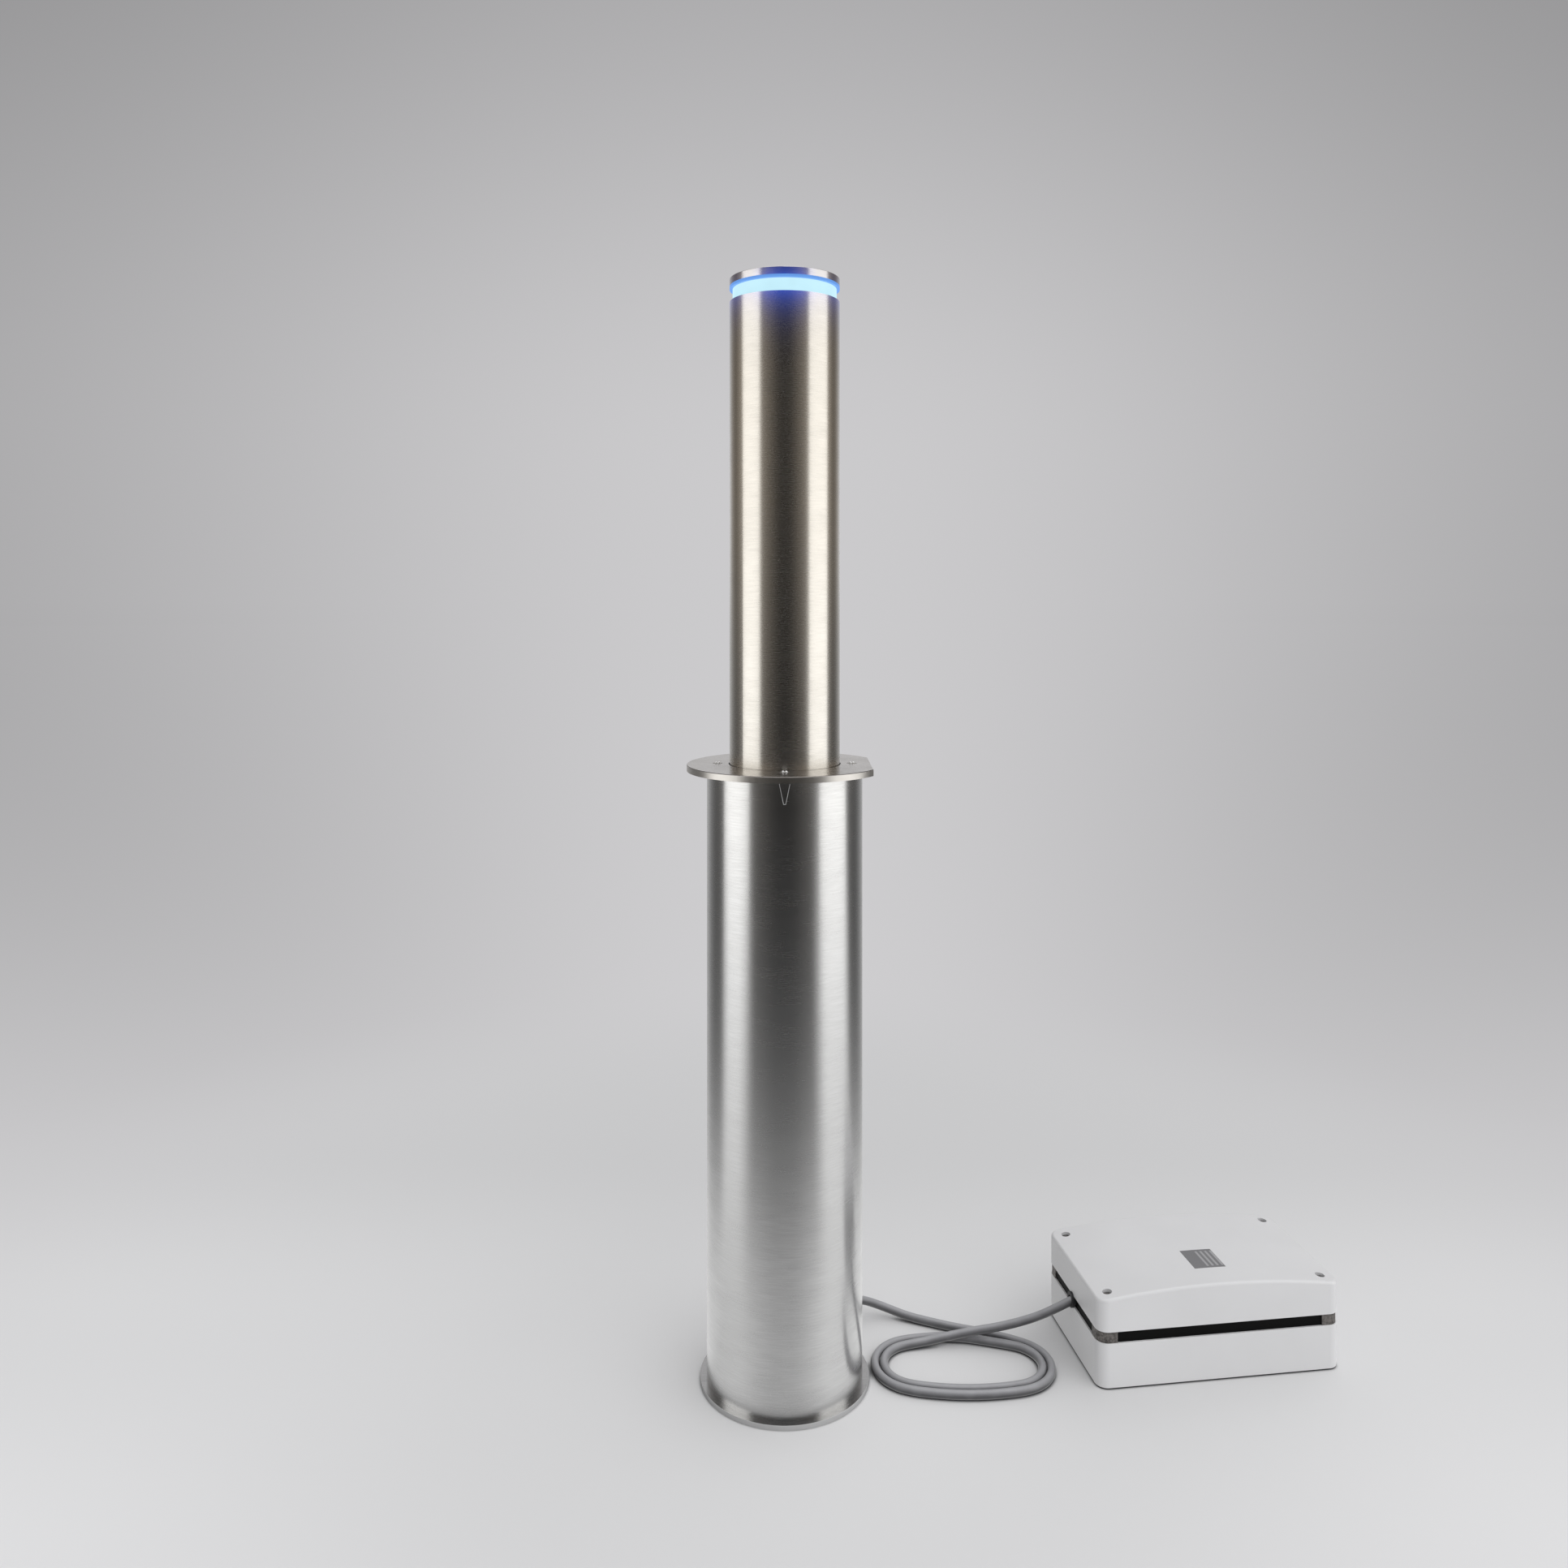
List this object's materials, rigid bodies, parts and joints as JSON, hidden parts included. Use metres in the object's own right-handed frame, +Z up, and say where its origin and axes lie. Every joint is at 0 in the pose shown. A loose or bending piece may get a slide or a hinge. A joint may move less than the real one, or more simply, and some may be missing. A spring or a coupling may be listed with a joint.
{
  "type": "automatic bollard",
  "caption": "Automatic rising bollard: a lit steel column that a lead screw drives out of a buried casing, with its cable and control box.",
  "frame": {"origin": "on the column's axis, on the underside of the base plate", "axes": "+Z up along the column, +X to the right in the picture towards the control box, +Y away from the viewer"},
  "size_m": [0.6868, 0.2611, 1.1445],
  "materials": {
    "steel_base": "brushed stainless steel",
    "steel_casing": "brushed stainless steel, grain round the tube",
    "steel_flange": "satin stainless steel",
    "steel_column": "brushed stainless steel, grain round the tube",
    "steel_cap": "turned stainless steel",
    "steel_inner": "plain machined steel",
    "steel_screws": "stainless steel",
    "rubber_black": "matt black rubber",
    "guide_plastic": "natural acetal",
    "cast_aluminium": "as cast",
    "actuator_aluminium": "anodised",
    "motor_paint": "satin black paint",
    "sensor_plastic": "moulded",
    "lead_black": "soft sheath",
    "cable_grey": "soft grey sheath",
    "gland_plastic": "moulded",
    "box_plastic": "fine-grained moulding",
    "board_green": "solder resist",
    "terminal_green": "moulded",
    "relay_blue": "moulded",
    "capacitor_black": "sleeved",
    "bronze": "machined bronze",
    "led_light": "lit diodes",
    "lens_glow": "clear lens, lit from inside",
    "diffuser_blue": "clear washer, lit blue"
  },
  "bodies": {
    "casing": {"base_plate": "steel_base", "casing_tube": "steel_casing", "casing_collar": "steel_inner", "cover_flange": "steel_flange", "flange_screws": "steel_screws", "wiper_seal": "rubber_black", "guide_bush": "guide_plastic", "upper_stop_ring": "rubber_black", "guide_rails": "steel_inner", "stop_posts": "steel_inner", "stop_buffers": "rubber_black", "actuator_foot": "steel_inner", "foot_bolts": "steel_screws", "gearbox": "cast_aluminium", "motor": "motor_paint", "screw_bearing": "steel_screws", "actuator_tube": "actuator_aluminium", "top_bush": "guide_plastic", "lower_sensor": "sensor_plastic", "upper_sensor": "sensor_plastic", "terminal_block": "sensor_plastic", "coiled_lead": "lead_black", "inner_lead": "cable_grey", "cable_gland": "gland_plastic", "gland_nut": "gland_plastic", "gland_locknut": "gland_plastic", "cable_lead_in": "cable_grey", "cable_coil": "cable_grey", "cable_lead_out": "cable_grey", "box_base": "box_plastic", "box_lid": "box_plastic", "band_gasket": "rubber_black", "lid_screws": "steel_screws", "lid_sleeves": "steel_screws", "band_corners": "steel_screws", "cable_grommet": "rubber_black", "control_board": "board_green", "board_screws": "steel_screws", "transformer": "sensor_plastic", "terminal_strip": "terminal_green", "relays": "relay_blue", "capacitor": "capacitor_black", "box_lead": "cable_grey"},
    "column": {"column_tube": "steel_column", "foot_guide": "guide_plastic", "foot_screws": "steel_screws", "head_plate": "steel_inner", "push_tube": "steel_inner", "push_tube_bolt": "steel_screws", "drive_nut": "bronze", "led_carrier": "actuator_aluminium", "led_strip": "led_light", "lens_ring": "lens_glow", "diffuser_ring": "diffuser_blue", "cap": "steel_cap", "cap_screws": "steel_screws"},
    "lead_screw": {"lead_screw": "steel_inner"}
  },
  "joints": [
    {"name": "column_rise", "type": "slide", "parent": "casing", "child": "column", "axis": [0, 0, 1], "range_m": [-0.5, 0], "deforming": ["coiled_lead"]},
    {"name": "screw_turn", "type": "hinge", "parent": "casing", "child": "lead_screw", "pos_m": [-0.015, 0, 0.04], "axis": [0, 0, 1], "range_deg": [-18000, 0]}
  ],
  "couplings": [
    {"joint": "screw_turn", "follows": "column_rise", "rad_per_m": 628.32}
  ]
}
